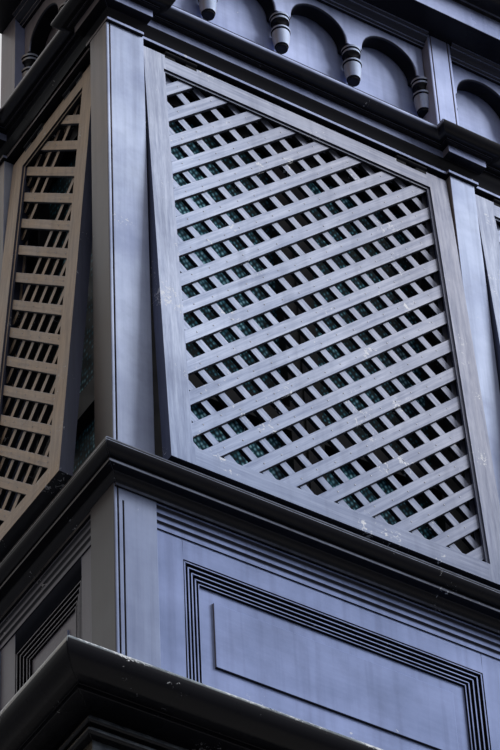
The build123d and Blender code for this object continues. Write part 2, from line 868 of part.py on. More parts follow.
def hang(shape, set_back, tilt):
    """Set a shutter's piece at its hinge line under the head, turned about it."""
    return Pos(0, set_back, hinge_z) * Rot(-tilt, 0, 0) * shape


fixed = []
front_frame = hang(shutter_frame(bay_opening, shutter_foot_rail), shutter_set_back, shutter_tilt)
front_slats = (front_slat_start, front_slat_width, slat_angle)
back_slats = (back_slat_start, back_slat_width, -slat_angle)
front_lattice = shutter_lattice(bay_opening, shutter_foot_rail, front_slats, back_slats)
front_lattice = hang(front_lattice, shutter_set_back, shutter_tilt)
front_leaves = [hang(s, shutter_set_back, shutter_tilt) for s in moving_leaf(bay_opening)]
for name, x in zip(("front_left", "front_middle", "front_right"), bay_centres):
    nodes["shutter_frame_" + name] = on_front(front_frame, x)
    nodes["lattice_" + name] = on_front(front_lattice, x)
    nodes["hinges_" + name] = Compound([on_front(s, x) for s in front_leaves])
    fixed += [on_front(hang(s, shutter_set_back, 0), x) for s in fixed_leaf(bay_opening)]

end_frame = hang(shutter_frame(side_opening, end_foot_rail), end_set_back, end_tilt)
end_leaves = [hang(s, end_set_back, end_tilt) for s in moving_leaf(side_opening)]
front_slats = (end_front_slat_start, end_front_slat_width, slat_angle)
for name, place, missing in (("left", on_left, end_missing_slats), ("right", on_right, ())):
    back_slats = (end_back_slat_start, end_back_slat_width, -end_back_slat_angle, end_back_slat_pitch, missing)
    end_lattice = mirror(shutter_lattice(side_opening, end_foot_rail, front_slats, back_slats), about=Plane.YZ)
    nodes["shutter_frame_" + name] = place(end_frame)
    nodes["lattice_" + name] = place(hang(end_lattice, end_set_back, end_tilt))
    nodes["hinges_" + name] = Compound([place(s) for s in end_leaves])
    fixed += [place(hang(s, end_set_back, 0)) for s in fixed_leaf(side_opening)]
nodes["fixed_hinges"] = Compound(fixed)

os.makedirs("parts", exist_ok=True)
for name, shape in nodes.items():
    export_step(shape, "parts/" + name + ".step")
print(len(nodes), "nodes, width", width, "depth", depth, "top", cornice_top)
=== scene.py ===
import json
import math
import random

import bpy
from mathutils import Matrix, Vector


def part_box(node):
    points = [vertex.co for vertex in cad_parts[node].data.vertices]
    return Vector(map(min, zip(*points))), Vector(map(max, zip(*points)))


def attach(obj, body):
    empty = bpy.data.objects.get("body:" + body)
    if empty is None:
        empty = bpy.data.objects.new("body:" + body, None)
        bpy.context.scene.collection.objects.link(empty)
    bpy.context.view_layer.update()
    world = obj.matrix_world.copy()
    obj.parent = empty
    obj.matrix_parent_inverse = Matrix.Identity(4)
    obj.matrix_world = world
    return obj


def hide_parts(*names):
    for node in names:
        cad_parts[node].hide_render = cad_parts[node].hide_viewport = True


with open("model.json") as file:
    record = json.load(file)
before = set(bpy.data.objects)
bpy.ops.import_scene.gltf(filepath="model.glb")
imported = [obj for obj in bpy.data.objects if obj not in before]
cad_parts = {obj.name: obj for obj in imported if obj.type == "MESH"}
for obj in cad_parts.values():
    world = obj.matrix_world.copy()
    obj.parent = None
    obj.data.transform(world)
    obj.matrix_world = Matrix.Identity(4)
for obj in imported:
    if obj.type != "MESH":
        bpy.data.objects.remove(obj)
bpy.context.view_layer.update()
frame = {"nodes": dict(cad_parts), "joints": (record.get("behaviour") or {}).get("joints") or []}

bpy.ops.object.select_all(action="DESELECT")

# Camera: it stands in the street, below the left front corner of the balcony, and looks up with a long
# lens.
left_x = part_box("wall_posts")[0].x
front_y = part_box("corner_posts")[0].y
camera_data = bpy.data.cameras.new("street_camera")
camera_data.lens = 167.5
camera_data.sensor_width = 36
camera_data.clip_end = 500
camera = bpy.data.objects.new("street_camera", camera_data)
bpy.context.scene.collection.objects.link(camera)
camera_place = (left_x - 2.618, front_y - 4.347, -3.899)
camera_right = Vector((0.84797, -0.52855, -0.03967))
camera_up = Vector((-0.34723, -0.61050, 0.71184))
camera_back = Vector((-0.40046, -0.58985, -0.70122))
camera_turn = Matrix((camera_right, camera_up, camera_back)).transposed().to_4x4()
camera.matrix_world = Matrix.Translation(camera_place) @ camera_turn
bpy.context.scene.camera = camera
bpy.context.scene.view_settings.view_transform = "Standard"


# Floor: a pale studio floor below the camera. From below it is clear, so that the street camera looks
# through it, and it throws back only a little light, as a street does.
def linear(hex_colour):
    """Linear red, green, blue and alpha of an sRGB hex value."""
    parts = [int(hex_colour[i : i + 2], 16) / 255 for i in (0, 2, 4)]
    return [p / 12.92 if p <= 0.04045 else ((p + 0.055) / 1.055) ** 2.4 for p in parts] + [1.0]


def add_node(tree, kind, inputs=None, **settings):
    """A node with its settings, its socket values and its links."""
    node = tree.nodes.new(kind)
    for key, value in settings.items():
        setattr(node, key, value)
    for key, value in (inputs or {}).items():
        if isinstance(value, bpy.types.NodeSocket):
            tree.links.new(value, node.inputs[key])
        else:
            node.inputs[key].default_value = value
    return node


def empty_material(name):
    """A new material with no nodes in it yet."""
    material = bpy.data.materials.new(name)
    material.use_nodes = True
    material.node_tree.nodes.clear()
    return material, material.node_tree


def seen_rays(tree):
    """1 for the rays that show the studio itself: seen directly, mirrored or through glass."""
    path = add_node(tree, "ShaderNodeLightPath")
    glossy = path.outputs["Is Glossy Ray"]
    through = path.outputs["Is Transmission Ray"]
    mirrored = add_node(tree, "ShaderNodeMath", {0: glossy, 1: through}).outputs[0]
    seen = add_node(tree, "ShaderNodeMath", {0: path.outputs["Is Camera Ray"], 1: mirrored}, use_clamp=True)
    return seen.outputs[0]


floor_z = -5.5
floor_size = 300
bpy.ops.mesh.primitive_plane_add(size=floor_size, location=(0, 0, floor_z))
floor = bpy.context.object
floor.name = "studio_floor"
floor_paint, tree = empty_material("pale_floor")
floor_tones = {0: seen_rays(tree), 6: linear("4a4846"), 7: linear("dcdcda")}
pale = add_node(tree, "ShaderNodeMix", floor_tones, data_type="RGBA")
matt = add_node(tree, "ShaderNodeBsdfDiffuse", {"Color": pale.outputs[2]})
clear = add_node(tree, "ShaderNodeBsdfTransparent")
behind = add_node(tree, "ShaderNodeNewGeometry").outputs["Backfacing"]
mix = add_node(tree, "ShaderNodeMixShader", {0: behind, 1: matt.outputs[0], 2: clear.outputs[0]})
add_node(tree, "ShaderNodeOutputMaterial", {"Surface": mix.outputs[0]})
floor.data.materials.append(floor_paint)
floor.select_set(False)

# Light: a dome, bright and cool above on the right, dimmer and warm on the left, with hardly any light from
# below the horizon. A large softbox high in front on the right draws the edges. The pale backdrop is what
# the camera, the paint's gloss and the glass see.
world = bpy.data.worlds.new("studio")
bpy.context.scene.world = world
world.use_nodes = True
tree = world.node_tree
tree.nodes.clear()
direction = add_node(tree, "ShaderNodeTexCoord")
split = add_node(tree, "ShaderNodeSeparateXYZ", {0: direction.outputs["Generated"]})
rising = {"Value": split.outputs["Z"], 1: -0.05, 2: 0.6, 3: 0.02, 4: 1.5}
height = add_node(tree, "ShaderNodeMapRange", rising)
side = add_node(tree, "ShaderNodeMapRange", {"Value": split.outputs["X"], 1: -0.4, 2: 0.4})
dome_tones = {0: side.outputs[0], 6: linear("b1a390"), 7: linear("dde6ff")}
dome = add_node(tree, "ShaderNodeMix", dome_tones, data_type="RGBA")
surround = add_node(tree, "ShaderNodeBackground", {"Color": dome.outputs[2], "Strength": height.outputs[0]})
backdrop = add_node(tree, "ShaderNodeBackground", {"Color": linear("d9dbde"), "Strength": 1.0})
both_skies = {0: seen_rays(tree), 1: surround.outputs[0], 2: backdrop.outputs[0]}
mix = add_node(tree, "ShaderNodeMixShader", both_skies)
add_node(tree, "ShaderNodeOutputWorld", {"Surface": mix.outputs[0]})

lamp_data = bpy.data.lights.new("softbox", "AREA")
lamp_data.size = 4.0
lamp_data.energy = 2600
lamp_data.color = linear("fff8ec")[:3]
lamp = bpy.data.objects.new("softbox", lamp_data)
bpy.context.scene.collection.objects.link(lamp)
lamp.location = (6.0, -5.2, 7.0)
lamp.visible_glossy = False
lamp_target = Vector((-0.9, -0.5, 1.4))
lamp.rotation_euler = (lamp_target - lamp.location).to_track_quat("-Z", "Y").to_euler()


# Carcass: the ledger on the wall, the soffit below and the floor, ceiling and roof above. Rough sawn
# softwood, unpainted and grey with age, nailed down in boards of about 120 mm that lie along the wall.
chance = random.Random(7)


def copy_of(node):
    """A working copy of a frame node's mesh, its corners merged and its flat faces made whole."""
    piece = frame["nodes"][node].copy()
    piece.data = piece.data.copy()
    piece.name = node + "_timber"
    piece.parent = None
    piece.data.materials.clear()
    for key in list(piece.keys()):
        del piece[key]
    bpy.context.scene.collection.objects.link(piece)
    edit_all(piece)
    bpy.ops.mesh.remove_doubles(threshold=0.00001)
    bpy.ops.mesh.dissolve_limited(angle_limit=math.radians(0.5))
    bpy.ops.object.mode_set(mode="OBJECT")
    return piece


def pick(pieces):
    """Select these objects and no others."""
    bpy.ops.object.select_all(action="DESELECT")
    for piece in pieces:
        piece.select_set(True)
    bpy.context.view_layer.objects.active = pieces[0]


def edit_all(piece):
    """Go into edit mode on one piece with everything selected."""
    pick([piece])
    bpy.ops.object.mode_set(mode="EDIT")
    bpy.ops.mesh.select_all(action="SELECT")


def loose_parts(piece):
    """The separate solids of a piece."""
    edit_all(piece)
    bpy.ops.mesh.separate(type="LOOSE")
    bpy.ops.object.mode_set(mode="OBJECT")
    return list(bpy.context.selected_objects)


def saw(piece, point, normal):
    """Saw a piece along a plane: the part behind it, then the part in front of it."""
    other = piece.copy()
    other.data = piece.data.copy()
    bpy.context.scene.collection.objects.link(other)
    for part, in_front in ((piece, False), (other, True)):
        edit_all(part)
        bpy.ops.mesh.bisect(
            plane_co=point, plane_no=normal, use_fill=True, clear_inner=in_front, clear_outer=not in_front
        )
        bpy.ops.object.mode_set(mode="OBJECT")
    whole = []
    for part in (piece, other):
        if len(part.data.polygons):
            whole.append(part)
        else:
            bpy.data.objects.remove(part)
    return whole


def saw_all(pieces, point, normal):
    """Saw every piece that a plane crosses."""
    parts = []
    for piece in pieces:
        parts += saw(piece, point, normal)
    return parts


def ease(piece, width, turns=2):
    """Take the sharpness off a piece's edges, as planing, sanding and many coats of paint do."""
    pick([piece])
    bevel = piece.modifiers.new("eased_edges", "BEVEL")
    bevel.width = width
    bevel.segments = turns
    bevel.limit_method = "ANGLE"
    bevel.angle_limit = math.radians(40)
    bpy.ops.object.modifier_apply(modifier=bevel.name)
    bpy.ops.object.shade_smooth_by_angle(angle=math.radians(50))
    weight = piece.modifiers.new("flat_faces", "WEIGHTED_NORMAL")
    weight.keep_sharp = True
    bpy.ops.object.modifier_apply(modifier=weight.name)
    return piece


def mark_grain(piece, along):
    """Keep lengthwise, crosswise and depth coordinates for the grain, from another place in each tree."""
    grain = piece.data.attributes.new("board", "FLOAT_VECTOR", "POINT")
    shift = [chance.uniform(0, 9) for _ in range(3)]
    order = {"x": (0, 2, 1), "y": (1, 2, 0), "z": (2, 0, 1)}[along]
    for vertex in piece.data.vertices:
        grain.data[vertex.index].vector = [vertex.co[axis] + move for axis, move in zip(order, shift)]
    return piece


def join(pieces, name):
    """Glue parts into one piece."""
    pick(pieces)
    if len(pieces) > 1:
        bpy.ops.object.join()
    pieces[0].name = name
    pieces[0].data.name = name
    bpy.ops.object.select_all(action="DESELECT")
    return pieces[0]


def fix(piece, material, body, slot, *nodes):
    """Give a piece its finish and its place in the model."""
    piece.data.materials.clear()
    piece.data.materials.append(material)
    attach(piece, body)
    if nodes:
        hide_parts(*nodes)
    return piece


def rough_timber(name, pale, dark):
    """Old softwood, rough from the saw: rings about 9 mm apart, fibres of about 1 mm, dull all over."""
    material, tree = empty_material(name)
    board = add_node(tree, "ShaderNodeAttribute", attribute_name="board").outputs["Vector"]
    rings_at = add_node(tree, "ShaderNodeMapping", {"Vector": board, "Scale": (3, 110, 110)})
    rings = add_node(tree, "ShaderNodeTexNoise", {"Vector": rings_at.outputs[0], "Scale": 1, "Detail": 4})
    fibre_at = add_node(tree, "ShaderNodeMapping", {"Vector": board, "Scale": (20, 900, 900)})
    fibre = add_node(tree, "ShaderNodeTexNoise", {"Vector": fibre_at.outputs[0], "Scale": 1, "Detail": 2})
    grains = {0: rings.outputs["Fac"], 1: fibre.outputs["Fac"]}
    blend = add_node(tree, "ShaderNodeMath", grains, operation="MULTIPLY").outputs[0]
    ramp = add_node(tree, "ShaderNodeValToRGB", {"Fac": blend})
    ramp.color_ramp.elements[0].position = 0.12
    ramp.color_ramp.elements[0].color = linear(dark)
    ramp.color_ramp.elements[1].position = 0.42
    ramp.color_ramp.elements[1].color = linear(pale)
    bump = add_node(tree, "ShaderNodeBump", {"Height": blend, "Strength": 0.6, "Distance": 0.002})
    finish = {"Base Color": ramp.outputs[0], "Roughness": 0.85, "Normal": bump.outputs[0]}
    surface = add_node(tree, "ShaderNodeBsdfPrincipled", finish)
    add_node(tree, "ShaderNodeOutputMaterial", {"Surface": surface.outputs[0]})
    return material


# Brown-grey boards with dark rings, nearly without shine
rough_boards = rough_timber("rough_softwood", "6a635c", "2e2a28")
board_width = 0.12
for node in ("base_soffit", "floor_boards", "ceiling_boards", "roof_boards"):
    low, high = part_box(node)
    boards = [copy_of(node)]
    joint_y = low.y + board_width
    while joint_y < high.y - board_width / 2:
        boards = saw(boards[0], (0, joint_y, 0), (0, 1, 0))[::-1] + boards[1:]
        joint_y += board_width
    for part in boards:
        mark_grain(ease(part, 0.0015), "x")
    fix(join(boards, node + "_planks"), rough_boards, "balcony", "dark_timber", node)
ledger = mark_grain(ease(copy_of("wall_ledger"), 0.002), "x")
fix(join([ledger], "wall_ledger_beam"), rough_boards, "balcony", "dark_timber", "wall_ledger")


# Base and ledge: fascia boards, two planted beads and a broad ledge with a round nose, run round three
# sides and mitred at the corners. Softwood in many coats of blue-grey oil paint, chipped and streaked
# with white lime and dirt, most of all on the ledge.
def painted_timber(
    name,
    pale,
    deep,
    grain=0.15,
    mottle=6,
    chips=0.0,
    specks=0.0,
    runs=0.3,
    shine=0.35,
    edges=None,
    under=(0.02, 0.36),
    fades=(),
    rim=0.0,
):
    """Oil paint on softwood: mottled on the flats, black below with painted shade, with dirt runs and
    specks.

    pale, deep: the two tones of the mottle. grain: how far it follows the brush instead of patches.
    mottle: patches in a metre. chips, specks, runs: how much there is of each. shine: the roughness
    where it is glossiest. edges: the axis that the sides of a shutter's boards face, which get a dark
    painted
    shade. under: how far a face must look down for the painted shade to start, and to cover it. fades:
    films that darken the colour, each with the height where it is full, the height where it ends, its tint,
    and whether it lies on the ends alone. rim: how much more lime lies on faces that look up.
    """
    material, tree = empty_material(name)
    board = add_node(tree, "ShaderNodeAttribute", attribute_name="board").outputs["Vector"]
    coordinates = add_node(tree, "ShaderNodeTexCoord")
    place = coordinates.outputs["Object"]
    facing = add_node(tree, "ShaderNodeSeparateXYZ", {0: coordinates.outputs["Normal"]})

    def noise(vector, scale, detail, **more):
        """How far a point lies along a noise pattern, from 0 to 1."""
        inputs = {"Vector": vector, "Scale": scale, "Detail": detail, **more}
        return add_node(tree, "ShaderNodeTexNoise", inputs).outputs["Fac"]

    def stretched(vector, scale):
        """Coordinates stretched before a pattern is laid on them."""
        return add_node(tree, "ShaderNodeMapping", {"Vector": vector, "Scale": scale}).outputs[0]

    def over(mask, paint):
        """Paint over the colour so far where the mask is white."""
        layer = add_node(tree, "ShaderNodeMix", {0: mask, 6: colour, 7: paint}, data_type="RGBA")
        return layer.outputs[2]

    def filmed(mask, tint):
        """Darken the colour so far with a thin film where the mask is white."""
        layer = add_node(tree, "ShaderNodeMix", {0: mask, 6: colour, 7: linear(tint)}, data_type="RGBA")
        layer.blend_type = "MULTIPLY"
        return layer.outputs[2]

    def mask_of(value, start, full, strength):
        """A soft mask that grows to a strength between two levels of a value."""
        levels = {"Value": value, 1: start, 2: full, 3: 0.0, 4: strength}
        return add_node(tree, "ShaderNodeMapRange", levels).outputs[0]

    # Brush strokes 8 mm across, fibres of 1.5 mm, and patches where the paint is thinner
    brush = noise(stretched(board, (5, 130, 130)), 1, 5)
    fibre = noise(stretched(board, (22, 700, 700)), 1, 2)
    patch = noise(place, mottle, 6, Roughness=0.6)
    strokes = add_node(tree, "ShaderNodeMix", {0: 0.35, 2: brush, 3: fibre}, data_type="FLOAT").outputs[0]
    tone = add_node(tree, "ShaderNodeMix", {0: grain, 2: patch, 3: strokes}, data_type="FLOAT")
    tones = add_node(tree, "ShaderNodeValToRGB", {"Fac": tone.outputs[0]})
    tones.color_ramp.elements[0].position = 0.36
    tones.color_ramp.elements[0].color = linear(deep)
    tones.color_ramp.elements[1].position = 0.64
    tones.color_ramp.elements[1].color = linear(pale)
    colour = tones.outputs["Color"]
    # Dirt that has run down, 20 mm across and up to 600 mm long, and grime in patches of about 200 mm
    run = noise(stretched(place, (45, 45, 1.6)), 1, 5)
    colour = filmed(mask_of(run, 0.48, 0.75, runs), "5b6178")
    soil = noise(place, 4, 9, Roughness=0.7)
    colour = filmed(mask_of(soil, 0.52, 0.75, runs), "6d6a70")
    # Chips down to the dark wood, 3 to 10 mm
    chip = noise(stretched(board, (60, 160, 160)), 1, 6, Roughness=0.7)
    chipped = mask_of(chip, 0.74 - 0.12 * chips, 0.76 - 0.12 * chips, 1.0)
    colour = over(chipped, linear("2a2726"))
    # Painted shade: faces that look to the ends get a warm brown shade, and the sides of a shutter's boards
    # a dark one
    side = add_node(tree, "ShaderNodeMath", {0: facing.outputs["X"]}, operation="ABSOLUTE").outputs[0]
    side_shade_tint = "6a7088" if edges == "X" else "e1c4a4"
    colour = filmed(mask_of(side, 0.6, 0.9, 1.0), side_shade_tint)
    if edges == "Y":
        edge = add_node(tree, "ShaderNodeMath", {0: facing.outputs["Y"]}, operation="ABSOLUTE").outputs[0]
        colour = filmed(mask_of(edge, 0.6, 0.9, 1.0), "454a60")
    # Films that darken the colour below given heights, on the ends alone if so said: painted shade on the
    # posts, and a plain darkening toward the bottom of the front shutters
    height = add_node(tree, "ShaderNodeSeparateXYZ", {0: place}).outputs["Z"]
    for full_z, none_z, tint, ends_only in fades:
        levels = {"Value": height, 1: full_z, 2: none_z, 3: 1.0, 4: 0.0}
        foot = add_node(tree, "ShaderNodeMapRange", levels).outputs[0]
        ends = mask_of(side, 0.6, 0.9, 1.0) if ends_only else 1.0
        hidden = add_node(tree, "ShaderNodeMath", {0: foot, 1: ends}, operation="MULTIPLY")
        colour = filmed(hidden.outputs[0], tint)
    # A warm film, heavier toward the top right of each front shutter, as marked in its mesh
    warm_film = add_node(tree, "ShaderNodeAttribute", attribute_name="warm_film").outputs["Fac"]
    colour = filmed(warm_film, "dcd3cc")
    # Painted shade, near black, on whatever faces down, and on the grooves and hollows marked in the mesh
    down = add_node(tree, "ShaderNodeMath", {0: facing.outputs["Z"], 1: -1.0}, operation="MULTIPLY")
    below = mask_of(down.outputs[0], *under, 0.97)
    painted_shade = add_node(tree, "ShaderNodeAttribute", attribute_name="painted_shade").outputs["Fac"]
    shade_amount = add_node(tree, "ShaderNodeMath", {0: below, 1: painted_shade}, operation="MAXIMUM")
    colour = over(shade_amount.outputs[0], linear("0e0f15"))
    # White lime splashes, 2 to 8 mm, some drawn out into curved streaks
    splash = noise(place, 105, 6, Roughness=0.62, Distortion=1.0)
    where = noise(place, 11, 3)
    both = add_node(tree, "ShaderNodeMath", {0: splash, 1: where}, operation="MULTIPLY").outputs[0]
    upward = mask_of(facing.outputs["Z"], 0.1, 0.6, rim)
    lime = add_node(tree, "ShaderNodeMath", {0: both, 1: upward}).outputs[0]
    opaque = 0.75 if specks else 0.0
    splashed = mask_of(lime, 0.445 - 0.075 * specks, 0.47 - 0.075 * specks, opaque)
    colour = over(splashed, linear("b9bfc9"))

    sunk = add_node(tree, "ShaderNodeMath", {0: strokes, 1: chipped}, operation="SUBTRACT")
    relief = {"Height": sunk.outputs[0], "Strength": 0.35, "Distance": 0.0005}
    bump = add_node(tree, "ShaderNodeBump", relief)
    rough = add_node(tree, "ShaderNodeMath", {0: mask_of(patch, 0.3, 0.7, 0.15), 1: shine})
    gloss = add_node(tree, "ShaderNodeMapRange", {"Value": shade_amount.outputs[0], 3: 0.5, 4: 0.06})
    finish = {
        "Base Color": colour,
        "Roughness": rough.outputs[0],
        "Specular IOR Level": gloss.outputs[0],
        "Normal": bump.outputs[0],
    }
    surface = add_node(tree, "ShaderNodeBsdfPrincipled", finish)
    add_node(tree, "ShaderNodeOutputMaterial", {"Surface": surface.outputs[0]})
    return material


# Grey-green gloss with a pale rim of lime along the nose, and black below it with painted shade
base_paint = painted_timber(
    "ledge_paint", "8a96a0", "56616c", chips=0.3, specks=0.9, runs=0.8, shine=0.22, rim=0.12
)


def mitred(node, width):
    """A moulding that runs round three sides, sawn at its two mitres, with the grain along each run."""
    left_run, rest = saw(copy_of(node), (left_x, front_y, 0), (1, -1, 0))
    front_run, right_run = saw(rest, (-left_x, front_y, 0), (1, 1, 0))
    runs = ((left_run, "y"), (front_run, "x"), (right_run, "y"))
    return [mark_grain(ease(part, width), along) for part, along in runs]


def blacken(piece, shade_amount):
    """Mark how much painted shade each face of a piece gets, from 0 to 1."""
    painted_shade = piece.data.attributes.new("painted_shade", "FLOAT", "FACE")
    for face in piece.data.polygons:
        painted_shade.data[face.index].value = min(max(float(shade_amount(face)), 0.0), 1.0)
    return piece


def breadth(piece, face):
    """How wide a long face is."""
    corners = [piece.data.vertices[index].co for index in face.vertices]
    longest = max((corners[i] - corners[i - 1]).length for i in range(len(corners)))
    return face.area / longest


def shade_moulding(piece, band=None, unshaded_rise=0.95, spread=0.5):
    """Painted shade on a moulding's curved faces as they turn down, and on all its faces between two
    heights.
    """
    low, high = band or (0, 0)
    narrowest = 0.0018

    def shade_amount(face):
        rise = face.normal.z
        if low < face.center.z < high:
            return 1.0
        if abs(rise) < 0.01 or rise > 0.98 or breadth(piece, face) < narrowest:
            return 0.0
        return (unshaded_rise - rise) / spread

    return blacken(piece, shade_amount)


# Painted shade on the mouldings' curved faces as they turn down, and on every face of the ledge below 85 mm
ledge_underside = (-1, 0.085)
for node, band, unshaded_rise, spread in (
    ("base_fascia", None, 0.95, 0.5),
    ("base_beads", None, 0.25, 0.2),
    ("base_ledge", ledge_underside, 0.52, 0.26),
):
    lengths = [shade_moulding(part, band, unshaded_rise, spread) for part in mitred(node, 0.0015)]
    fix(join(lengths, node + "_run"), base_paint, "balcony", "grey_painted_timber", node)

# Posts: square softwood posts, morticed from the floor to the head, the corner ones with a quirked bead
# below the sill. Pale blue-grey paint, nearly even, with painted shade: darker below the sill as its
# shadow, warm brown on the ends, and darker lower down the ends as the end shutters' shade.
post_paint = painted_timber(
    "post_paint",
    "a2b1d2",
    "7684aa",
    mottle=3.5,
    chips=0.05,
    specks=0.15,
    runs=0.3,
    fades=((0.7, 0.9, "bcc0ca", False), (1.3, 2.1, "8e8a86", True)),
)
for node in ("corner_posts", "front_posts", "wall_posts"):
    parts = [mark_grain(ease(part, 0.0015), "z") for part in loose_parts(copy_of(node))]
    fix(join(parts, node + "_set"), post_paint, "balcony", "grey_painted_timber", node)


# Dado: stiles and rails morticed together, a stepped and mitred moulding round each panel, and a panel
# with a raised field. The joints of the boards show as fine lines, and the moulding's steps are black with
# painted shade.
def parts_box(part):
    """Lowest and highest corners of a part."""
    corners = [vertex.co for vertex in part.data.vertices]
    low = Vector([min(c[axis] for c in corners) for axis in range(3)])
    high = Vector([max(c[axis] for c in corners) for axis in range(3)])
    return low, high


def long_axis(low, high):
    """0 for a part that lies along the front, 1 for one along an end."""
    return 0 if high.x - low.x > high.y - low.y else 1


# A deeper blue-grey with soft streaks of dirt down it
dado_paint = painted_timber("dado_paint", "7686b4", "5b6b95", mottle=5, chips=0.05, specks=0.15, runs=0.3)
stile = 0.062
boards = []
for part in loose_parts(copy_of("dado_frames")):
    low, high = parts_box(part)
    across = long_axis(low, high)
    normal = [0, 0, 0]
    normal[across] = 1
    first, last = Vector(low), Vector(low)
    first[across] = low[across] + stile
    last[across] = high[across] - stile
    left_stile, rest = saw(part, first, normal)
    rails, right_stile = saw(rest, last, normal)
    for upright in (left_stile, right_stile):
        boards.append(mark_grain(ease(upright, 0.001), "z"))
    for rail in loose_parts(rails):
        boards.append(mark_grain(ease(rail, 0.001), "xy"[across]))
fix(join(boards, "dado_boards"), dado_paint, "balcony", "grey_painted_timber", "dado_frames")

dado_set_back = 0.008
fillet_depth = 0.0025
fillet_inset = 0.003
steps_slope = 0.225
mitre_parts = []
for part in loose_parts(copy_of("panel_mouldings")):
    low, high = parts_box(part)
    across = long_axis(low, high)
    middle = (low + high) / 2
    span = (high[across] - low[across]) / 2
    rise = (high.z - low.z) / 2
    quarters = [part]
    for side in (-1, 1):
        for end in (-1, 1):
            normal = [0, 0, 1]
            normal[across] = -side * end
            corner = Vector(middle)
            corner[across] += side * span
            corner.z += end * rise
            quarters = saw_all(quarters, corner, normal)
    outward = Vector((0, -1, 0)) if across == 0 else Vector((math.copysign(1, middle.x), 0, 0))
    face_at = (-front_y if across == 0 else -left_x) - dado_set_back

    def in_groove(face):
        """True where a face lies behind the line of the thin fillets, or stands across it."""
        centre = face.center
        inset = min(span - abs(centre[across] - middle[across]), rise - abs(centre.z - middle.z))
        depth = face_at - centre.dot(outward)
        fillets = fillet_depth + (inset - fillet_inset) * steps_slope
        return depth > fillets or face.normal.dot(outward) < 0.5

    # The faces in the moulding's grooves get painted shade
    for quarter in quarters:
        q_low, q_high = parts_box(quarter)
        upright = q_high.z - q_low.z > q_high[across] - q_low[across]
        mark_grain(ease(quarter, 0.0006), "z" if upright else "xy"[across])
        mitre_parts.append(blacken(quarter, in_groove))
lengths = join(mitre_parts, "panel_moulding_lengths")
fix(lengths, dado_paint, "balcony", "grey_painted_timber", "panel_mouldings")

parts = [mark_grain(ease(part, 0.0015), "x") for part in loose_parts(copy_of("dado_panels"))]
fix(join(parts, "raised_panels"), dado_paint, "balcony", "grey_painted_timber", "dado_panels")

parts = [mark_grain(ease(part, 0.0008), "x") for part in loose_parts(copy_of("apron_mouldings"))]
fix(join(parts, "apron_lengths"), dado_paint, "balcony", "grey_painted_timber", "apron_mouldings")

# Sill: a deep softwood moulding with a round nose that sheds the rain, mitred at the corners. Its paint is
# darker and glossier than the dado's, and black under the nose with painted shade.
sill_paint = painted_timber("sill_paint", "6d778f", "434a5e", chips=0.2, specks=0.3, runs=0.5, shine=0.25)
for node, along in (("sill_front", "x"), ("sill_left", "y"), ("sill_right", "y")):
    piece = mark_grain(ease(copy_of(node), 0.0012), along)
    shade_moulding(piece, None, 0.6, 0.4)
    fix(join([piece], node + "_run"), sill_paint, "balcony", "grey_painted_timber", node)

# Windows: dark painted softwood sashes behind the shutters, glazed with hammered glass of a blue-green
# tint. Its colour holds painted glints in its dimples, 10 to 15 mm apart, and painted light and shade in
# wide patches.
sash_paint = painted_timber("sash_paint", "1b1a20", "0f0f14", runs=0.2)
parts = [mark_grain(ease(part, 0.0015), "z") for part in loose_parts(copy_of("window_sashes"))]
fix(join(parts, "sash_joinery"), sash_paint, "balcony", "sash_paint", "window_sashes")

hammered_glass, tree = empty_material("hammered_glass")
place = add_node(tree, "ShaderNodeTexCoord").outputs["Object"]
sway = add_node(tree, "ShaderNodeTexNoise", {"Vector": place, "Scale": 9, "Detail": 3})
bent = add_node(tree, "ShaderNodeMix", {0: 0.006, 4: place, 5: sway.outputs["Color"]}, data_type="VECTOR")
rows = {"Vector": bent.outputs[1], "Rotation": (0, math.radians(40), 0), "Scale": (95, 95, 70)}
turned = add_node(tree, "ShaderNodeMapping", rows)
dimple = {"Vector": turned.outputs[0], "Scale": 1.0, "Randomness": 0.4}
cell = add_node(tree, "ShaderNodeTexVoronoi", dimple, feature="F1").outputs["Distance"]
# Painted light in the glass's colour: pale glints at the dimples' centres, and wide lit and shaded patches
painted_light_patches = add_node(tree, "ShaderNodeTexNoise", {"Vector": place, "Scale": 3.5, "Detail": 4, "Roughness": 0.6})
lit = add_node(tree, "ShaderNodeMapRange", {"Value": painted_light_patches.outputs["Fac"], 1: 0.36, 2: 0.6, 3: 0.3, 4: -0.02})
level = add_node(tree, "ShaderNodeMath", {0: cell, 1: lit.outputs[0]}, operation="ADD")
tint = add_node(tree, "ShaderNodeValToRGB", {"Fac": level.outputs[0]})
tint.color_ramp.elements[0].position = 0.15
tint.color_ramp.elements[0].color = linear("9fd3e6")
tint.color_ramp.elements[1].position = 0.62
tint.color_ramp.elements[1].color = linear("08161d")
middle = tint.color_ramp.elements.new(0.36)
middle.color = linear("2b6a82")
bump = add_node(tree, "ShaderNodeBump", {"Height": cell, "Strength": 0.3, "Distance": 0.0008}, invert=True)
finish = {
    "Base Color": tint.outputs[0],
    "Roughness": 0.35,
    "Specular IOR Level": 0.25,
    "Normal": bump.outputs[0],
}
pane = add_node(tree, "ShaderNodeBsdfPrincipled", finish)
add_node(tree, "ShaderNodeOutputMaterial", {"Surface": pane.outputs[0]})
glass = frame["nodes"]["window_glass"]
glass.data.materials.clear()
glass.data.materials.append(hammered_glass)

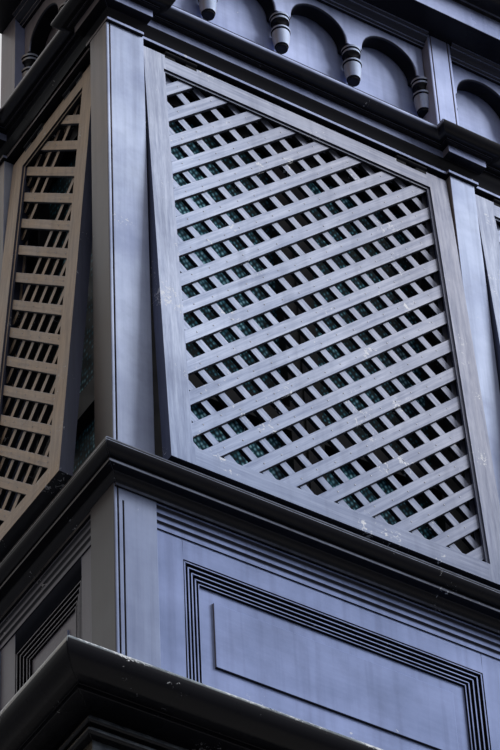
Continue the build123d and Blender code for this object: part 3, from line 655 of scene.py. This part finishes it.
# Shutters: a frame of stiles and rails with a stepped inner edge, filled with two layers of slats that
# cross, nailed where they meet. Each hangs from two iron hinges let into its top edge. Softwood and iron,
# all painted.
# Pale chalky blue-grey with the grain showing through, dark with painted shade at the sides of the boards,
# and darker toward the bottom
front_paint = painted_timber(
    "front_shutter_paint",
    "a7b5d3",
    "7a88a9",
    grain=0.8,
    chips=0.2,
    specks=1.0,
    runs=0.2,
    shine=0.5,
    edges="X",
    fades=((0.86, 1.3, "ccd2dc", False),),
)
# The same, paler, turned a warm grey by painted shade on its faces, and dark with painted shade at the
# sides of its boards
end_paint = painted_timber(
    "end_shutter_paint",
    "c8cfdd",
    "98a1b8",
    grain=0.7,
    chips=0.2,
    specks=0.7,
    runs=0.3,
    shine=0.5,
    edges="Y",
)
# Black and dull
iron_paint = painted_timber("painted_iron", "0f1014", "08080b", chips=0.2, runs=0.6, shine=0.7)
# Iron heads painted over with the slats, a little paler where the paint has worn
nail_iron, tree = empty_material("painted_nail_iron")
place = add_node(tree, "ShaderNodeTexCoord").outputs["Object"]
bloom = add_node(tree, "ShaderNodeTexNoise", {"Vector": place, "Scale": 300, "Detail": 3})
worn = add_node(tree, "ShaderNodeValToRGB", {"Fac": bloom.outputs["Fac"]})
worn.color_ramp.elements[0].position = 0.4
worn.color_ramp.elements[0].color = linear("8d929d")
worn.color_ramp.elements[1].position = 0.6
worn.color_ramp.elements[1].color = linear("aab1c0")
surface = add_node(tree, "ShaderNodeBsdfPrincipled", {"Base Color": worn.outputs[0], "Roughness": 0.6})
add_node(tree, "ShaderNodeOutputMaterial", {"Surface": surface.outputs[0]})

# Sizes of a shutter, from the hinge line: where its top edge, its slats and the steps of its frame lie
hang = 0.007
face_width = 0.052
fillet_width = 0.006
shutter_height = 1.336
slat_pitch = 0.0923
slat_depth = 0.010
slat_face = 0.010
slat_housed = 0.006
slat_turn = 0.25
slat_shave = 0.0008

bpy.ops.mesh.primitive_cube_add(size=1)
slat_pattern = bpy.context.object
slat_pattern.name = "slat_pattern"


def slat(length, width, place):
    """One slat, planed and with eased edges, copied from the pattern and laid in its place."""
    mesh = slat_pattern.data.copy()
    piece = bpy.data.objects.new("slat", mesh)
    bpy.context.scene.collection.objects.link(piece)
    mesh.transform(Matrix.Diagonal((length, slat_depth, width, 1)))
    edit_all(piece)
    bpy.ops.mesh.bevel(offset=0.0009, segments=1, affect="EDGES")
    bpy.ops.object.mode_set(mode="OBJECT")
    mark_grain(piece, "x")
    mesh.transform(place)
    return piece


def layer_lines(half, top, low, layer):
    """Middle lines of the slats of one layer: a point on it, and where it enters and leaves the opening."""
    start, width, angle, pitch, missing = layer
    run, rise = math.cos(angle), math.sin(angle)
    lines = []
    for i in range(-30, 40):
        if i in missing:
            continue
        point_x = -half
        point_z = top - start - i * pitch + width / 2 / run
        ends = []
        for shift in (-width / 2, 0, width / 2):
            x = point_x - shift * rise
            z = point_z + shift * run
            in_x = sorted(((-half - x) / run, (half - x) / run))
            in_z = sorted(((low - z) / rise, (top - z) / rise))
            begin, end = max(in_x[0], in_z[0]), min(in_x[1], in_z[1])
            if end > begin:
                ends += [begin, end]
        if ends:
            lines.append((point_x, point_z, min(ends), max(ends)))
    return lines


def mark_warm_film(piece, hung, half):
    """Mark a warm film on a shutter's boards, from none at the lower left to heaviest at the upper right.
    """
    film_right = 0.9
    film_top = 0.5
    fade_down = 0.4
    warm_film = piece.data.attributes.new("warm_film", "FLOAT", "POINT")
    unhung = hung.inverted()
    for vertex in piece.data.vertices:
        at = unhung @ vertex.co
        across = 0.5 + 0.5 * at.x / half
        up = 1.0 + at.z / fade_down
        warm_film.data[vertex.index].value = min(max(film_right * across, 0.0) + max(film_top * up, 0.0), 1.0)
    return piece


def lattice(flap, body, paint, hung, half, top, low, layers, lean):
    """Both layers of slats of one shutter. It gives back their middle lines and angles."""
    parts = []
    crossing = []
    for depth, layer in enumerate(layers):
        width, angle = layer[1:3]
        lines = layer_lines(half, top, low, layer)
        crossing.append((lines, angle))
        for x, z, begin, end in lines:
            middle = (begin + end) / 2
            wobble = math.radians(chance.uniform(-slat_turn, slat_turn))
            centre_x = lean * (x + middle * math.cos(angle))
            centre_z = z + middle * math.sin(angle)
            centre = Vector((centre_x, slat_face + (depth + 0.5) * slat_depth, centre_z))
            turn = Matrix.Rotation(-lean * (angle + wobble), 4, "Y")
            planed = width - chance.uniform(0, slat_shave)
            place = hung @ Matrix.Translation(centre) @ turn
            parts.append(slat(end - begin + 2 * slat_housed, planed, place))
    piece = join(parts, "slats_" + flap)
    if paint == front_paint:
        mark_warm_film(piece, hung, half)
    fix(piece, paint, body, "grey_painted_timber", "lattice_" + flap)
    return crossing


nail_stray = 0.003
nail_proud = 0.0003
nail_margin = 0.006
bpy.ops.mesh.primitive_cylinder_add(vertices=8, radius=0.0019, depth=0.0012, rotation=(math.pi / 2, 0, 0))
nail_pattern = bpy.context.object
nail_pattern.name = "nail_pattern"
bpy.ops.object.transform_apply(location=False, rotation=True, scale=False)
edit_all(nail_pattern)
bpy.ops.mesh.bevel(offset=0.0004, segments=1, affect="EDGES")
bpy.ops.object.mode_set(mode="OBJECT")


def nail_heads(name, body, places):
    """Round nail heads, each driven nearly flush."""
    heads = []
    for place in places:
        mesh = nail_pattern.data.copy()
        mesh.transform(place)
        head = bpy.data.objects.new("nail", mesh)
        bpy.context.scene.collection.objects.link(head)
        heads.append(head)
    return fix(join(heads, name), nail_iron, body, "painted_iron")


def shutter(flap, yaw, half, foot, layers, lean):
    """One shutter: its frame, slats, nails and hinge leaves."""
    joint = next(j for j in frame["joints"] if j["name"] == "shutter_" + flap + "_hinge")
    tilt = math.radians(-joint["range_deg"][0])
    body = "shutter_" + flap
    on_front = abs(yaw) < 1
    paint = front_paint if on_front else end_paint
    hinge_turn = Matrix.Rotation(yaw, 4, "Z") @ Matrix.Rotation(-tilt, 4, "X")
    hung = Matrix.Translation(joint["pos_m"]) @ hinge_turn
    across = hung.to_3x3() @ Vector((1, 0, 0))
    opening = half - face_width - fillet_width
    # The saw cuts 0.5 mm inside the stiles' edge, so that no strip of it is left to hold the rails
    shoulder = opening - 0.0005
    boards = [copy_of("shutter_frame_" + flap)]
    for x in (-shoulder, shoulder):
        boards = saw_all(boards, hung @ Vector((x, 0, 0)), across)
    boards = [board for part in boards for board in loose_parts(part)]
    for part in boards:
        low, high = parts_box(part)
        upright = high.z - low.z > max(high.x - low.x, high.y - low.y)
        mark_grain(ease(part, 0.0009), "z" if upright else ("x" if on_front else "y"))
    frame_boards = join(boards, "frame_boards_" + flap)
    if paint == front_paint:
        mark_warm_film(frame_boards, hung, half)
    fix(frame_boards, paint, body, "grey_painted_timber", "shutter_frame_" + flap)
    top = -hang - face_width - fillet_width
    low = -hang - shutter_height + foot + fillet_width
    crossing = lattice(flap, body, paint, hung, opening, top, low, layers, lean)
    places = []
    (front_lines, front_angle), (back_lines, back_angle) = crossing
    slope = math.tan(front_angle)
    back_slope = math.tan(back_angle)
    for x0, z0, _, _ in front_lines:
        for x1, z1, _, _ in back_lines:
            x = (z1 - z0 + slope * x0 - back_slope * x1) / (slope - back_slope)
            z = z0 + slope * (x - x0)
            if abs(x) < opening - nail_margin and low + nail_margin < z < top - nail_margin:
                spot_x = lean * x + chance.uniform(-nail_stray, nail_stray)
                spot_z = z + chance.uniform(-nail_stray, nail_stray)
                places.append(hung @ Matrix.Translation((spot_x, slat_face - nail_proud, spot_z)))
    nail_heads("nails_" + flap, body, places)
    hinge = [mark_grain(ease(part, 0.0004), "x") for part in loose_parts(copy_of("hinges_" + flap))]
    fix(join(hinge, "hinge_leaves_" + flap), iron_paint, body, "painted_iron", "hinges_" + flap)


# Each layer of slats: the start of its first slat below the opening's top, the slats' width, their angle,
# their pitch down the stile, and the numbers of those that are missing
slant = math.radians(45)
front_layers = ((0.081, 0.030, slant, slat_pitch, ()), (0.009, 0.0235, -slant, slat_pitch, ()))
for flap in ("front_left", "front_middle", "front_right"):
    shutter(flap, 0.0, 0.418, 0.052, front_layers, 1)
end_slant = math.radians(47.3)
end_pitch = 0.0951
for flap, yaw, lean, missing in (("left", -math.pi / 2, -1, (0, 1)), ("right", math.pi / 2, 1, ())):
    end_layers = ((0.020, 0.0235, slant, slat_pitch, ()), (0.048, 0.020, -end_slant, end_pitch, missing))
    shutter(flap, yaw, 0.1915, 0.047, end_layers, lean)
bpy.data.objects.remove(slat_pattern)
bpy.data.objects.remove(nail_pattern)
fixed = [mark_grain(ease(part, 0.0004), "x") for part in loose_parts(copy_of("fixed_hinges"))]
fix(join(fixed, "fixed_hinge_leaves"), iron_paint, "balcony", "painted_iron", "fixed_hinges")

# Entablature: a softwood beam over the posts, with a fascia and a roll that break forward over each post.
# Mid blue-grey paint whose gloss draws the edges of the mouldings, with painted shade in the cove and
# fillet and a painted highlight line left along the fillet's top.
beam_paint = painted_timber("beam_paint", "95a3cc", "7683ab", chips=0.05, specks=0.05, runs=0.3, shine=0.25)
fillet_foot = 2.2985
fillet_top = 2.305
edge_light = 0.002
cove_low = 2.2395
cove_high = 2.2748
for node, along in (("entablature_front", "x"), ("entablature_left", "y"), ("entablature_right", "y")):
    piece = mark_grain(ease(copy_of(node), 0.001), along)
    edit_all(piece)
    # The fillet's top 2 mm is kept out of the painted shade, to show as a painted highlight line under the
    # roll
    bpy.ops.mesh.bisect(plane_co=(0, 0, fillet_top - edge_light), plane_no=(0, 0, 1))
    bpy.ops.object.mode_set(mode="OBJECT")
    shade_moulding(piece, (fillet_foot, fillet_top - edge_light))
    painted_shade = piece.data.attributes["painted_shade"].data
    for face in piece.data.polygons:
        if cove_low < face.center.z < cove_high and face.normal.z < 0.01:
            painted_shade[face.index].value = 1.0
    fix(join([piece], node + "_beam"), beam_paint, "balcony", "grey_painted_timber", node)


# Frieze: flat panels behind an arcade of round arches sawn from one board, pilasters over the posts and a
# small moulding above, planted on. Pale blue-grey, nearly even, with painted shade, black, inside the
# arches and under the moulding.
def outward_of(part):
    """Which way the street lies from a part of the front or of an end."""
    low, high = parts_box(part)
    if long_axis(low, high) == 0:
        return Vector((0, -1, 0))
    return Vector((math.copysign(1, low.x + high.x), 0, 0))


frieze_paint = painted_timber("frieze_paint", "98a6cf", "7c8ab3", chips=0.03, specks=0.05, runs=0.25)
for node, along, width, turns in (
    ("frieze_panels", "x", 0.001, 2),
    ("arcade_boards", "x", 0.005, 4),
    ("frieze_pilasters", "z", 0.001, 2),
    ("bed_mouldings", "x", 0.0008, 2),
):
    parts = []
    for part in loose_parts(copy_of(node)):
        mark_grain(ease(part, width, turns), along)
        # Painted shade on the faces that turn away from the street: the arches' soffits and the moulding's
        # undersides
        if node in ("arcade_boards", "bed_mouldings"):
            street = outward_of(part)
            blacken(part, lambda face: 1.4 - 2.5 * face.normal.dot(street))
        parts.append(part)
    fix(join(parts, node + "_set"), frieze_paint, "balcony", "grey_painted_timber", node)

# Pendants: drops turned on a lathe and pegged under the feet of the arches. The paint is lighter than the
# frieze's and glossy, with painted shade, black, in the necks between the rings and under the foot ring.
pendant_paint = painted_timber(
    "pendant_paint", "a9b9da", "8494b4", specks=0.05, shine=0.2, under=(0.35, 0.8)
)
drop_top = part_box("pendants")[1].z
neck_depths = ((0.007, 0.0115), (0.019, 0.0485), (0.055, 0.059), (0.1055, 1.0))


def in_neck(face):
    """True where a face lies in one of the necks."""
    depth = drop_top - face.center.z
    return any(start < depth < end for start, end in neck_depths)


parts = []
for part in loose_parts(copy_of("pendants")):
    parts.append(blacken(mark_grain(ease(part, 0.0004), "z"), in_neck))
fix(join(parts, "pendants_set"), pendant_paint, "balcony", "grey_painted_timber", "pendants")

# Cornice: a deep crown moulding of softwood, run round three sides and mitred at the corners, in the
# beam's paint, with painted shade on its curved faces as they turn down.
lengths = [shade_moulding(part) for part in mitred("cornice", 0.0015)]
fix(join(lengths, "cornice_run"), beam_paint, "balcony", "grey_painted_timber", "cornice")
